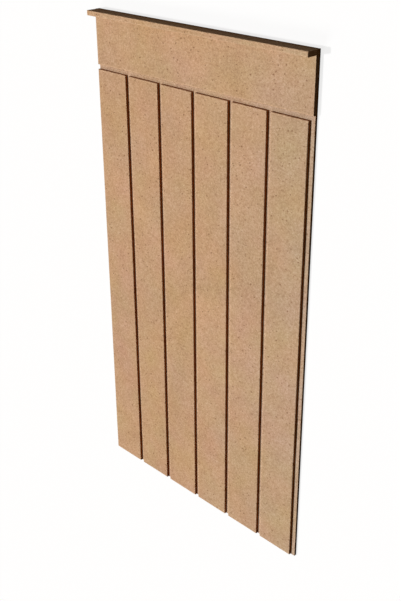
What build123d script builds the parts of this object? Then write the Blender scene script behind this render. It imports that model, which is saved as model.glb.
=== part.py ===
"""A tongue-and-groove effect wall panel of raw board with a cap strip along its top.

It lies on its back, face up: X runs across the planks, Y runs up the wall towards the cap,
and Z comes out of the face. The origin is the middle of the back face.
"""

import os

from build123d import *

# Driving dimensions, in millimetres
panel_height = 1220.0  # standing height, half the length of a full sheet
sheet_thickness = 12.0
plank_count = 6
plank_width = 99.0  # flat face between two grooves
groove_width = 11.0  # square groove, the same for the cross groove
groove_depth = 6.0
tongue_width = 12.0  # open rebate along the right edge
rail_height = 128.0  # plain band above the cross groove
cap_height = 12.0  # along the wall
cap_projection = 25.0  # out from the face of the board

# Widths and places that follow from them
plank_pitch = plank_width + groove_width
planks_width = plank_count * plank_pitch - groove_width
panel_width = planks_width + tongue_width
left_edge = -panel_width / 2
right_edge = panel_width / 2
bottom_edge = -panel_height / 2
top_edge = panel_height / 2
planks_middle = left_edge + planks_width / 2
rail_bottom = top_edge - rail_height
groove_length = rail_bottom - bottom_edge

# The board: one sheet with every groove routed into its face in one pattern
with BuildPart() as grooved_board:
    with BuildSketch(Plane.XY):
        Rectangle(panel_width, panel_height)
    extrude(amount=sheet_thickness)

    with BuildSketch(Plane.XY.offset(sheet_thickness)):
        # The cross groove lies directly under the rail, from edge to edge
        with Locations((0, rail_bottom)):
            Rectangle(panel_width, groove_width, align=(Align.CENTER, Align.MAX))
        # The grooves between the planks open into the cross groove and run off the bottom edge
        with Locations((planks_middle, bottom_edge)):
            with GridLocations(plank_pitch, 0, plank_count - 1, 1):
                Rectangle(groove_width, groove_length, align=(Align.CENTER, Align.MIN))
        # The rebate beside the last plank is open at the right edge and leaves the tongue
        with Locations((right_edge, bottom_edge)):
            Rectangle(tongue_width, groove_length, align=(Align.MAX, Align.MIN))
    extrude(amount=-groove_depth, mode=Mode.SUBTRACT)

# The cap strip: planted on the face, flush with the top edge and both ends
with BuildPart() as cap_strip:
    with BuildSketch(Plane.XY.offset(sheet_thickness)):
        with Locations((0, top_edge)):
            Rectangle(panel_width, cap_height, align=(Align.CENTER, Align.MAX))
    extrude(amount=cap_projection)

grooved_board.part.label = "grooved_board"
cap_strip.part.label = "cap_strip"

os.makedirs("parts", exist_ok=True)
export_step(grooved_board.part, "parts/grooved_board.step")
export_step(cap_strip.part, "parts/cap_strip.step")
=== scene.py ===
import math

import bmesh
import bpy
import numpy as np
from mathutils import Matrix, Vector


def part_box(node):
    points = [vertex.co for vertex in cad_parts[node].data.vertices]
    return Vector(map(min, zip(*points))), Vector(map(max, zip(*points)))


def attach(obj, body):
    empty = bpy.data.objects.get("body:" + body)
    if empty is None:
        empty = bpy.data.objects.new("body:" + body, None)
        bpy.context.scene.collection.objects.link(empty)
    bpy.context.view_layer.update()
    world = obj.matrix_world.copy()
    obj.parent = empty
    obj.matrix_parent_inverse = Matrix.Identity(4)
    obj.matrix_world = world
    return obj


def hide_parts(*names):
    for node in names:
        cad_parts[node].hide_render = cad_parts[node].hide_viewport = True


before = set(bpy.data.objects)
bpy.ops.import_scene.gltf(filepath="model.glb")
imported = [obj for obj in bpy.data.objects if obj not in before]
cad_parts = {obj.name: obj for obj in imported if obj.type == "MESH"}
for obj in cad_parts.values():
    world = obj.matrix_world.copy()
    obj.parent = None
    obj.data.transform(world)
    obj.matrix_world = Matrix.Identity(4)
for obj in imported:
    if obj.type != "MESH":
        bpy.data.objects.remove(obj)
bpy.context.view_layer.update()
print("stage: frame loaded,", len(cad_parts), "nodes")


# Helpers for meshes

def cornerLines(node):
    # the distinct x, y and z of a node's corners, sorted: every groove edge is among them
    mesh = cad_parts[node].data
    corners = np.empty(len(mesh.vertices) * 3)
    mesh.vertices.foreach_get("co", corners)
    return [np.unique(np.round(axis, 6)) for axis in corners.reshape(-1, 3).T]


def quarterCircle(segments):
    # shares of the radius, from the side up to the face: how far in, and how far below the face
    angle = np.linspace(0, math.pi / 2, segments + 1)
    return list(zip(1 - np.cos(angle), 1 - np.sin(angle)))


def wander(seed, places, reach):
    # smooth noise about 0, spread about 1, at places along an edge: white noise smoothed by a bell
    # curve whose own width is reach
    perReach = 4  # regular samples in one reach
    steps = np.arange(-3 * perReach, 3 * perReach + 1)
    bell = np.exp(-0.5 * (steps / perReach) ** 2)
    regular = np.arange(places.min(), places.max() + reach, reach / perReach)
    white = np.random.default_rng(seed).normal(size=len(regular) + len(bell) - 1)
    return np.interp(places, regular, np.convolve(white, bell / np.linalg.norm(bell), mode="valid"))


def wornRadius(seed, places, look):
    # arris radius at places along an edge, which hand and sander have left a little uneven
    worn = look["radius"] * (1 + look["wearShare"] * wander(seed, places, look["wearReach"]))
    return np.clip(worn, look["narrowest"], look["widest"])


def edgeRadii(edges, places, seed, look):
    # worn radii at places along numbered edges, one row for each entry of edges
    worn = [wornRadius(seed + edge, places, look) for edge in range(int(edges.max()) + 1)]
    return np.array(worn)[edges.astype(int)]


def stripFaces(first, second):
    # quads between two lines of vertices
    return np.stack([first[:-1], first[1:], second[1:], second[:-1]], axis=-1)


def gridFaces(corner):
    # quads of a grid of vertex numbers
    return np.concatenate([stripFaces(first, second) for first, second in zip(corner[:-1], corner[1:])])


def meshPiece(name, points, wearAndHighlight, faces, slots, materials):
    # one closed shell: points nearer than the weld are merged and every face is turned outwards
    weld = 1e-6
    mesh = bpy.data.meshes.new(name)
    mesh.from_pydata(points.tolist(), [], faces)
    mesh.polygons.foreach_set("material_index", np.asarray(slots, dtype=np.int32))
    mesh.attributes.new("edgeWearAndHighlight", "FLOAT", "POINT").data.foreach_set("value", wearAndHighlight.astype(np.float32))
    shell = bmesh.new()
    shell.from_mesh(mesh)
    bmesh.ops.remove_doubles(shell, verts=shell.verts, dist=weld)
    bmesh.ops.recalc_face_normals(shell, faces=shell.faces)
    shell.to_mesh(mesh)
    shell.free()
    for material in materials:
        mesh.materials.append(material)
    piece = bpy.data.objects.new(name, mesh)
    bpy.context.scene.collection.objects.link(piece)
    return piece


# Helpers for materials

def addNode(tree, kind, inputs, **attributes):
    node = tree.nodes.new(kind)
    for name, value in attributes.items():
        setattr(node, name, value)
    for name, value in inputs.items():
        if isinstance(value, bpy.types.NodeSocket):
            tree.links.new(value, node.inputs[name])
        else:
            node.inputs[name].default_value = value
    return node


def compute(tree, operation, *values):
    return addNode(tree, "ShaderNodeMath", dict(enumerate(values)), operation=operation).outputs[0]


def mapped(tree, value, low, high, start, end):
    # value between low and high, clamped, to start and end
    return addNode(tree, "ShaderNodeMapRange", {0: value, 1: low, 2: high, 3: start, 4: end}).outputs[0]


def mixed(tree, share, first, second, way="MIX"):
    sockets = {0: share, 6: first, 7: second}
    return addNode(tree, "ShaderNodeMix", sockets, data_type="RGBA", blend_type=way).outputs[2]


def noise(tree, place, perMetre, detail=2.0):
    # fractal noise about 0, between about -0.5 and 0.5
    made = addNode(tree, "ShaderNodeTexNoise", {"Vector": place, "Scale": perMetre, "Detail": detail})
    return compute(tree, "SUBTRACT", made.outputs[0], 0.5)


def turned(tree, place, turn, stretch):
    # space turned about the sheet's normal, tipped a little, and stretched along the turned x
    tip = 0.15  # radians
    sockets = {"Vector": place, "Rotation": (0.0, tip, turn), "Scale": (stretch, 1.0, 1.0)}
    return addNode(tree, "ShaderNodeMapping", sockets, vector_type="TEXTURE").outputs[0]


def srgb(red, green, blue):
    # display colour, 0 to 255, to the linear colour that a shader takes
    shown = np.array([red, green, blue]) / 255
    linear = np.where(shown <= 0.04045, shown / 12.92, ((shown + 0.055) / 1.055) ** 2.4)
    return (*linear.tolist(), 1.0)


# Fibreboard: felted fibres of ground wood, light tan with brown flecks of bark.
# Each scale is in features a metre, and each length in metres

barkFlecks = {
    # share of the scatter that bears a fleck, the largest radius, and how fast the sizes fall off
    "perM": 152.0, "share": 0.9, "radius": 0.0023, "fall": 2.2, "stretch": 1.5, "turns": (0.4,),
    "cover": 0.72, "color": srgb(124, 88, 57), "frayPerM": 500.0, "fray": 0.0018,
}
slivers = {
    "perM": 190.0, "share": 0.5, "radius": 0.0010, "fall": 1.0, "stretch": 3.0, "turns": (0.2, 1.3, 2.5),
    "cover": 0.72, "color": srgb(138, 100, 68), "frayPerM": 900.0, "fray": 0.0006,
}
paleFibres = {
    "perM": 230.0, "share": 0.5, "radius": 0.0006, "fall": 1.0, "stretch": 4.0, "turns": (0.8, 1.9),
    "cover": 0.4, "color": srgb(226, 198, 168), "frayPerM": 900.0, "fray": 0.0006,
}
sandedLook = {
    "dark": srgb(148, 110, 77), "middle": srgb(192, 155, 120), "light": srgb(222, 190, 158),
    # clouds, clumps and tufts: how many a metre, and how much each tells
    "grain": ((3.5, 0.16), (12.0, 0.18), (30.0, 0.16), (70.0, 0.18), (190.0, 0.69), (420.0, 0.76)),
    "fibrePerM": 1200.0, "fibreStretch": 6.0, "fibreAmount": 0.35, "fibreTurns": (0.3, 1.35, 2.4),
    "flecks": (barkFlecks, slivers, paleFibres),
    "driftPerM": 9.0, "driftDetail": 4.0, "driftSpan": 0.25, "driftOffset": (7.0, 3.0, 5.0),
    "pinkDrift": (0.044, -0.02, 0.022), "blueDrift": (0.0, 0.0, 0.1),
    "fadeSpan": (0.0, 0.32), "fadeTint": (0.94, 1.02, 1.1, 1.0),  # greyer towards the tongue edge
    # arrises are rubbed pale in patches, and the same pale colour is a painted highlight on the arrises
    # that face the key lamp: how many a metre, and the rub of the least rubbed ones
    "wornAndHighlightColor": srgb(214, 179, 146), "wornAndHighlightShare": 0.55,
    "rubPerM": 120.0, "rubSpan": 0.2, "rubLeast": 0.3,
    "streakPerM": 0.0,  # no tool marks
    "feltSpan": (0.2, 0.8), "roughness": (0.78, 0.9), "gloss": 0.05, "bumpDistance": 0.00005,
}
routedLook = dict(
    sandedLook, dark=srgb(150, 113, 83), middle=srgb(192, 158, 128), light=srgb(222, 194, 166),
    fibreAmount=0.6, roughness=(0.86, 0.96), bumpDistance=0.00012,
    streakPerM=650.0, streakScale=(0.12, 1.0, 1.0), streakAmount=0.3,  # cutter marks across a groove
)
# groove walls: a darker, redder brown than the face, partly the darker routed cut and partly painted
# shade of the grooves' depth
wallAndShadeLook = dict(
    routedLook, dark=srgb(112, 60, 22), middle=srgb(147, 86, 38), light=srgb(178, 117, 64),
    streakScale=(1.0, 1.0, 0.08), streakAmount=0.4,
)
sawnLook = dict(
    wallAndShadeLook, dark=srgb(136, 98, 66), middle=srgb(176, 136, 102), light=srgb(204, 164, 128),
    skinStart=0.45, skinShade=(0.55, 0.51, 0.48, 1.0),  # the dense skins are darker than the core
)
endLook = dict(sawnLook, dark=srgb(152, 112, 80), middle=srgb(192, 150, 114), light=srgb(216, 178, 142))
planedLook = dict(
    sandedLook, middle=srgb(193, 156, 121), fibreAmount=0.5,
    skinStart=0.45, skinShade=(0.97, 0.96, 0.95, 1.0),
)


def feltTone(tree, place, look):
    # how light the felt is at a point, about 0.5: clumps of several sizes, fibres and tool marks
    felt = 0.5
    for perMetre, amount in look["grain"]:
        felt = compute(tree, "MULTIPLY_ADD", noise(tree, place, perMetre), amount, felt)
    for turn in look["fibreTurns"]:
        fibre = noise(tree, turned(tree, place, turn, look["fibreStretch"]), look["fibrePerM"], 1.0)
        felt = compute(tree, "MULTIPLY_ADD", fibre, look["fibreAmount"], felt)
    if look["streakPerM"]:
        sockets = {"Vector": place, "Scale": look["streakScale"]}
        lying = addNode(tree, "ShaderNodeMapping", sockets).outputs[0]
        streak = noise(tree, lying, look["streakPerM"], 1.0)
        felt = compute(tree, "MULTIPLY_ADD", streak, look["streakAmount"], felt)
    return felt


def fleckMask(tree, place, fleck, turn):
    # the cover inside a fleck and 0 outside: a ball about each point of a random scatter, stretched
    # one way, its radius drawn by lot, its outline frayed by bending the space around it
    fadeStart, leastRadius = 0.6, 1e-4  # share of the radius with full cover, and a radius above 0
    waves = {"Vector": place, "Scale": fleck["frayPerM"], "Detail": 1.0}
    bend = addNode(tree, "ShaderNodeTexNoise", waves).outputs["Color"]
    sockets = {0: bend, 1: (2 * fleck["fray"],) * 3, 2: place}
    bent = addNode(tree, "ShaderNodeVectorMath", sockets, operation="MULTIPLY_ADD").outputs[0]
    lying = turned(tree, bent, turn, fleck["stretch"])
    cells = addNode(tree, "ShaderNodeTexVoronoi", {"Vector": lying, "Scale": fleck["perM"]})
    lot = addNode(tree, "ShaderNodeSeparateColor", {0: cells.outputs["Color"]}).outputs[0]
    size = compute(tree, "POWER", mapped(tree, lot, 1 - fleck["share"], 1.0, 0.0, 1.0), fleck["fall"])
    radius = mapped(tree, size, 0.0, 1.0, leastRadius, fleck["radius"] * fleck["perM"])
    distance = compute(tree, "DIVIDE", cells.outputs["Distance"], radius)
    return mapped(tree, distance, fadeStart, 1.0, fleck["cover"], 0.0)


def drifted(tree, color, place, look, reach):
    # colour multiplied by 1 plus or minus a reach, in patches as broad as a hand
    drift, span = noise(tree, place, look["driftPerM"], look["driftDetail"]), look["driftSpan"]
    field = mapped(tree, drift, -span, span, 0.0, 1.0)
    less, more = [(*(1 + sign * np.array(reach)).tolist(), 1.0) for sign in (-1, 1)]
    return mixed(tree, 1.0, color, mixed(tree, field, less, more), "MULTIPLY")


def fibreboard(name, look, core=None):
    # core, for an edge of the sheet: axis through the sheet, middle and half of its thickness
    material = bpy.data.materials.new(name)
    material.use_nodes = True
    tree = material.node_tree
    shader = tree.nodes["Principled BSDF"]
    place = tree.nodes.new("ShaderNodeTexCoord").outputs["Object"]
    felt = feltTone(tree, place, look)
    ramp = addNode(tree, "ShaderNodeValToRGB", {"Fac": felt})
    ramp.color_ramp.elements[0].color = look["dark"]
    ramp.color_ramp.elements[1].color = look["light"]
    ramp.color_ramp.elements.new(0.5).color = look["middle"]

    color = drifted(tree, ramp.outputs[0], place, look, look["pinkDrift"])
    sockets = {0: place, 1: look["driftOffset"]}
    elsewhere = addNode(tree, "ShaderNodeVectorMath", sockets, operation="ADD").outputs[0]
    color = drifted(tree, color, elsewhere, look, look["blueDrift"])
    across = addNode(tree, "ShaderNodeSeparateXYZ", {0: place}).outputs[0]
    fade = mapped(tree, across, *look["fadeSpan"], 0.0, 1.0)
    color = mixed(tree, fade, color, mixed(tree, 1.0, color, look["fadeTint"], "MULTIPLY"))
    for fleck in look["flecks"]:
        for turn in fleck["turns"]:
            color = mixed(tree, fleckMask(tree, place, fleck, turn), color, fleck["color"])

    if core:
        axis, middle, half = core
        through = addNode(tree, "ShaderNodeSeparateXYZ", {0: place}).outputs[axis]
        depth = compute(tree, "ABSOLUTE", compute(tree, "SUBTRACT", through, middle))
        skin = mapped(tree, depth, look["skinStart"] * half, half, 0.0, 1.0)
        color = mixed(tree, skin, color, mixed(tree, 1.0, color, look["skinShade"], "MULTIPLY"))

    # pale arrises: real rub in patches, and on the arrises that face the key lamp a painted highlight
    wearAndHighlight = addNode(tree, "ShaderNodeAttribute", {}, attribute_name="edgeWearAndHighlight").outputs["Fac"]
    rub, span = noise(tree, place, look["rubPerM"]), look["rubSpan"]
    patches = mapped(tree, rub, -span, span, look["rubLeast"], 1.0)
    wearAndHighlight = compute(tree, "MULTIPLY", compute(tree, "MULTIPLY", wearAndHighlight, patches), look["wornAndHighlightShare"])
    color = mixed(tree, wearAndHighlight, color, look["wornAndHighlightColor"])

    tree.links.new(color, shader.inputs["Base Color"])
    roughness = mapped(tree, felt, *look["feltSpan"], *look["roughness"])
    tree.links.new(roughness, shader.inputs["Roughness"])
    sockets = {"Height": felt, "Distance": look["bumpDistance"], "Strength": 1.0}
    tree.links.new(addNode(tree, "ShaderNodeBump", sockets).outputs[0], shader.inputs["Normal"])
    shader.inputs["Specular IOR Level"].default_value = look["gloss"]
    return material


boardLow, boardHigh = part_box("grooved_board")
capLow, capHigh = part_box("cap_strip")
boardCore = (2, (boardLow.z + boardHigh.z) / 2, (boardHigh.z - boardLow.z) / 2)
capCore = (1, (capLow.y + capHigh.y) / 2, (capHigh.y - capLow.y) / 2)
sandedFace = fibreboard("sandedFace", sandedLook)
routedFloor = fibreboard("routedFloor", routedLook)
routedWallAndShade = fibreboard("routedWallAndShade", wallAndShadeLook)
sawnEdge = fibreboard("sawnEdge", sawnLook, boardCore)
capFront = fibreboard("capFront", planedLook, capCore)
capEnd = fibreboard("capEnd", endLook, capCore)
print("stage: materials made")


# The grooved board

boardLook = {
    "radius": 0.002, "narrowest": 0.001, "widest": 0.003, "segments": 4,  # arris of every front edge
    "wearReach": 0.03, "wearShare": 0.15,  # how the radius wanders along an edge
    "step": 0.008, "margin": 0.0045,  # between rows, and from an edge to the first flat strip
    "leftRubAndHighlight": 1.0, "rightRub": 0.2,  # how pale the arrises of a plank are: rubbed on both sides, and on the left, which faces the key lamp, a painted highlight as well
    "draft": 0.0001,  # lean of a groove wall, from its top to the floor
    "levelCosine": 0.7,  # a steeper face is a wall
    "rimShare": 0.45, "jointShare": 0.4,  # arris of the sheet's own edges, and under the cap
    "faceStrips": 8, "floorStrips": 2, "seed": 11, "crossSeed": 111,
}


def boardColumns(acrossLines, depth, look):
    # columns from left to right. Each holds: line x, inward share of the radius, drop among the planks,
    # share of the radius dropped, how pale it is (rub, and painted highlight on the lit left arrises), 1
    # if the rail has that arris too, edge number
    arc = quarterCircle(look["segments"])
    margin, draft = look["margin"], look["draft"]
    leftRubAndHighlight, rightRub, rim = look["leftRubAndHighlight"], look["rightRub"], look["rimShare"]
    left, right = acrossLines[0], acrossLines[-1]
    planks = acrossLines[:-1].reshape(-1, 2)  # left and right edge of each plank
    columns = []
    for number, (low, high) in enumerate(planks):
        if low == left:
            columns += [(low, rim * i, 0, rim * d, leftRubAndHighlight, 1, 0) for i, d in arc]
        else:
            columns.append((low - draft, 0, depth, 0, 0, 0, 0))
            columns += [(low, i, 0, d, leftRubAndHighlight, 0, 2 * number) for i, d in arc]
        strips = np.linspace(low + margin, high - margin, look["faceStrips"])
        columns += [(x, 0, 0, 0, 0, 0, 0) for x in strips]
        columns += [(high, -i, 0, d, rightRub, 0, 2 * number + 1) for i, d in arc[::-1]]
        columns.append((high + draft, 0, depth, 0, 0, 0, 0))
    strips = np.linspace(planks[-1, 1] + margin, right - margin, look["floorStrips"])
    columns += [(x, 0, depth, 0, 0, 0, 0) for x in strips]
    columns += [(right, -rim * i, depth, rim * d, rightRub, 1, planks.size) for i, d in arc[::-1]]
    return np.array(columns)


def boardRows(upLines, depth, look):
    # rows from bottom to top. Each holds: line y, inward share of the radius, drop, share of the
    # radius dropped, how rubbed it is, 1 among the planks or 0 above them, edge number
    arc = quarterCircle(look["segments"])
    margin, draft = look["margin"], look["draft"]
    bottom, crossLow, crossHigh, top = upLines
    rim, joint = look["rimShare"], look["jointShare"]

    def steps(low, high):
        return np.linspace(low + margin, high - margin, max(2, round((high - low) / look["step"])))

    rows = [(bottom, rim * i, 0, rim * d, 1, 1, 0) for i, d in arc]
    rows += [(y, 0, 0, 0, 0, 1, 0) for y in steps(bottom, crossLow)]
    rows += [(crossLow, -i, 0, d, 1, 1, 1) for i, d in arc[::-1]]
    rows.append((crossLow + draft, 0, depth, 0, 0, 1, 0))
    rows += [(y, 0, depth, 0, 0, 0, 0) for y in steps(crossLow, crossHigh)]
    rows.append((crossHigh - draft, 0, depth, 0, 0, 0, 0))
    rows += [(crossHigh, i, 0, d, 1, 0, 2) for i, d in arc]
    rows += [(y, 0, 0, 0, 0, 0, 0) for y in steps(crossHigh, top)]
    rows += [(top, -joint * i, 0, joint * d, 0, 0, 3) for i, d in arc[::-1]]
    return np.array(rows)


def buildBoard(look):
    # height over the back = thickness less the deeper of two drops, one worked out across the planks
    # and one up the wall; an arris is a quarter circle of a radius that wanders along its edge
    acrossLines, upLines, heights = cornerLines("grooved_board")
    thickness, depth = heights[-1], heights[-1] - heights[1]
    columns, rows = boardColumns(acrossLines, depth, look), boardRows(upLines, depth, look)
    acrossRadius = edgeRadii(columns[:, 6], rows[:, 0], look["seed"], look)
    upRadius = edgeRadii(rows[:, 6], columns[:, 0], look["crossSeed"], look).T
    lineX, inX, dropX, arcX, rubX, outerX = columns[:, :6].T[:, :, None]
    lineY, inY, dropY, arcY, rubY, among = rows[:, :6].T[:, None, :]
    there = np.maximum(outerX, among)  # 1 where a column's arris is there at all
    x = lineX + inX * acrossRadius
    y = lineY + inY * upRadius
    acrossDrop = dropX * among + arcX * there * acrossRadius
    z = thickness - np.maximum(acrossDrop, dropY + arcY * upRadius)
    front = np.stack([x, y, z], axis=-1).reshape(-1, 3)
    inGroove = np.maximum(dropX * among, dropY) > 0
    # paleness of each arris: rub, and a painted highlight on the left arrises that face the key lamp
    wearAndHighlight = np.where(inGroove & (outerX == 0), 0.0, np.maximum(rubX * there, rubY)).ravel()
    corner = np.arange(len(front)).reshape(x.shape)
    faces = gridFaces(corner)

    # 0 sanded face, 1 routed floor, 2 routed wall, whose colour is partly painted shade
    middle = front[faces].mean(axis=1)
    normal = np.cross(front[faces[:, 2]] - front[faces[:, 0]], front[faces[:, 3]] - front[faces[:, 1]])
    facesUp = np.abs(normal[:, 2]) > look["levelCosine"] * np.linalg.norm(normal, axis=1)
    rim = np.array([[acrossLines[0], upLines[0]], [acrossLines[-1], upLines[-1]]])
    nearRim = np.abs(middle[:, None, :2] - rim).min(axis=(1, 2)) < look["widest"] / 2
    rimArris = nearRim & (np.ptp(front[faces][:, :, 2], axis=1) < look["widest"])
    high = middle[:, 2] > thickness - depth / 2
    slots = np.where(facesUp | rimArris, np.where(high, 0, 1), 2)

    # the back is the same grid laid flat, and four strips of sawn edge join the two rims
    back = front * (1, 1, 0)
    below = corner + len(front)
    rims = [
        (corner[:, 0], below[:, 0]), (corner[:, -1], below[:, -1]),
        (corner[0], below[0]), (corner[-1], below[-1]),
    ]
    sides = np.concatenate([stripFaces(upper, lower) for upper, lower in rims])
    slots = np.concatenate([slots, np.zeros(len(faces)), np.full(len(sides), 3)])
    faces = np.concatenate([faces, faces + len(front), sides])
    finishes = [sandedFace, routedFloor, routedWallAndShade, sawnEdge]
    points, wearAndHighlight = np.vstack([front, back]), np.append(wearAndHighlight, np.zeros(len(back)))
    return meshPiece("groovedBoard", points, wearAndHighlight, faces.tolist(), slots, finishes)


board = buildBoard(boardLook)
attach(board, "root")
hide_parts("grooved_board")
print("stage: board made,", len(board.data.polygons), "faces")


# The cap strip

capShape = dict(boardLook, faceStrips=3, jointBevel=0.00025, seed=900, crossSeed=910)


def buildCap(look):
    # a section with rounded front arrises carried along the top edge; near each end the section is
    # clipped inwards by the end arris
    arc = np.array(quarterCircle(look["segments"]))
    inward, drop = arc[:, 0], arc[:, 1]
    margin = look["margin"]
    sections = round((capHigh.x - capLow.x) / look["step"])
    inner = np.linspace(capLow.x + margin, capHigh.x - margin, sections)
    ends = look["radius"] * inward
    along = np.concatenate([capLow.x + ends, inner, (capHigh.x - ends)[::-1]])
    clip = look["radius"] * np.concatenate([drop, np.zeros(len(inner)), drop[::-1]])[:, None]
    lowRadius = wornRadius(look["seed"], along, look)[:, None]
    highRadius = wornRadius(look["crossSeed"], along, look)[:, None]
    flat = np.ones((len(along), 1))
    strips = np.linspace(capLow.y + margin, capHigh.y - margin, look["faceStrips"])
    bevel = look["jointBevel"]  # where the cap's top meets the edge of the board
    y = np.hstack([
        capLow.y * flat, capLow.y + lowRadius * inward, strips * flat,
        capHigh.y - highRadius * inward[::-1], (capHigh.y - np.array([0, bevel])) * flat])
    z = np.hstack([
        capLow.z * flat, capHigh.z - lowRadius * drop, capHigh.z * np.ones_like(strips) * flat,
        capHigh.z - highRadius * drop[::-1], (capLow.z + np.array([bevel, 0])) * flat])
    y = np.clip(y, capLow.y + clip, capHigh.y - clip)
    z = np.minimum(z, capHigh.z - clip)
    points = np.stack([np.broadcast_to(along[:, None], y.shape), y, z], axis=-1).reshape(-1, 3)
    arris = np.concatenate([[0], np.ones(len(arc)), np.zeros(len(strips)), np.ones(len(arc)), [0, 0]])
    wearAndHighlight = np.maximum(arris, clip > 0).ravel()

    corner = np.arange(len(points)).reshape(y.shape)
    ring = np.hstack([corner, corner[:, :1]])
    quads = gridFaces(ring)
    # 0 sanded top and underside, 1 planed front, 2 sawn end
    front = points[quads][:, :, 2].min(axis=1) > capHigh.z - look["widest"]
    slots = front.astype(int).tolist()
    # each end is a fan about a point in its middle
    faces = quads.tolist()
    for end, x in (ring[0], capLow.x), (ring[-1], capHigh.x):
        tip = np.full(len(end) - 1, len(points))
        faces += np.stack([end[:-1], end[1:], tip], axis=-1).tolist()
        slots += [2] * (len(end) - 1)
        points = np.vstack([points, (x, (capLow.y + capHigh.y) / 2, (capLow.z + capHigh.z) / 2)])
        wearAndHighlight = np.append(wearAndHighlight, 0.0)
    return meshPiece("capStrip", points, wearAndHighlight, faces, slots, [sandedFace, capFront, capEnd])


cap = buildCap(capShape)
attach(cap, "root")
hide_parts("cap_strip")
print("stage: cap made,", len(cap.data.polygons), "faces")


# Floor, light and camera

stageLook = {
    "floorSize": 40.0, "floorGap": 0.0002,
    "paper": (0.97, 0.97, 0.97, 1.0),  # the floor as it is seen
    "dim": (0.03, 0.03, 0.03, 1.0),  # the floor as it lights the panel
    "glow": 0.8,  # share of the paper's white that no shadow takes away
    "ambient": (0.076, 0.043, 0.014, 1.0),  # warm light of the room, which fills the shade
}
keyLook = {"from": (-0.66, -0.16, 1.0), "spread": math.radians(4), "faceLight": 0.729}
sideLook = {"from": (-0.6, -1.0, 1.0), "spread": math.radians(20), "faceLight": 0.18}
fillLook = {"from": (-0.45, 0.85, 1.0), "spread": math.radians(25), "faceLight": 0.046}


def seenFactor(tree):
    # 1 for what is seen, straight or by reflection, and 0 for light that reaches the object
    path = tree.nodes.new("ShaderNodeLightPath").outputs
    mirrored = compute(tree, "MAXIMUM", path["Is Glossy Ray"], path["Is Transmission Ray"])
    return compute(tree, "MAXIMUM", path["Is Camera Ray"], mirrored)


def buildFloor(look):
    half = look["floorSize"] / 2
    mesh = bpy.data.meshes.new("paperFloor")
    corners = [(-half, -half), (half, -half), (half, half), (-half, half)]
    mesh.from_pydata([(x, y, -look["floorGap"]) for x, y in corners], [], [(0, 1, 2, 3)])
    floor = bpy.data.objects.new("paperFloor", mesh)
    bpy.context.scene.collection.objects.link(floor)
    material = bpy.data.materials.new("paperFloor")
    material.use_nodes = True
    tree = material.node_tree
    tree.nodes.remove(tree.nodes["Principled BSDF"])
    seen = seenFactor(tree)
    color = mixed(tree, seen, look["dim"], look["paper"])
    paper = addNode(tree, "ShaderNodeBsdfDiffuse", {"Color": color})
    glow = addNode(tree, "ShaderNodeEmission", {"Strength": 1.0})
    share = compute(tree, "MULTIPLY", seen, look["glow"])
    blended = addNode(tree, "ShaderNodeMixShader", {0: share, 1: paper.outputs[0], 2: glow.outputs[0]})
    tree.links.new(blended.outputs[0], tree.nodes["Material Output"].inputs["Surface"])
    mesh.materials.append(material)


def buildSky(look):
    world = bpy.data.worlds.new("whiteRoom")
    world.use_nodes = True
    tree = world.node_tree
    color = mixed(tree, seenFactor(tree), look["ambient"], (1, 1, 1, 1))
    tree.links.new(color, tree.nodes["Background"].inputs["Color"])
    bpy.context.scene.world = world


def buildLamp(name, look):
    # a far lamp with a soft edge; its strength gives the face the stated light: pi * light / cosine
    towards = Vector(look["from"]).normalized()
    data = bpy.data.lights.new(name, "SUN")
    data.angle = look["spread"]
    data.energy = math.pi * look["faceLight"] / towards.z
    lamp = bpy.data.objects.new(name, data)
    lamp.rotation_euler = towards.to_track_quat("Z", "Y").to_euler()
    bpy.context.scene.collection.objects.link(lamp)


cameraLook = {
    "eye": (1.4713, 0.9771, 1.4258), "aim": (0.0136, -0.0238, 0.012), "roll": math.radians(-0.386),
    "focalPixels": 951.97, "framePixels": (401, 601),
}


def buildCamera(look):
    eye, aim = Vector(look["eye"]), Vector(look["aim"])
    back = (eye - aim).normalized()
    right = Vector((0, 1, 0)).cross(back).normalized()
    turn = Matrix.Rotation(look["roll"], 3, back)
    right = turn @ right
    axes = Matrix((right, back.cross(right), back)).transposed()
    data = bpy.data.cameras.new("photoCamera")
    data.lens = look["focalPixels"] * data.sensor_width / max(look["framePixels"])
    camera = bpy.data.objects.new("photoCamera", data)
    camera.matrix_world = Matrix.Translation(eye) @ axes.to_4x4()
    bpy.context.scene.collection.objects.link(camera)
    bpy.context.scene.camera = camera


buildFloor(stageLook)
buildSky(stageLook)
buildLamp("keyLamp", keyLook)
buildLamp("sideLamp", sideLook)
buildLamp("fillLamp", fillLook)
buildCamera(cameraLook)
bpy.context.scene.view_settings.view_transform = "Standard"
print("stage: floor, light and camera made")
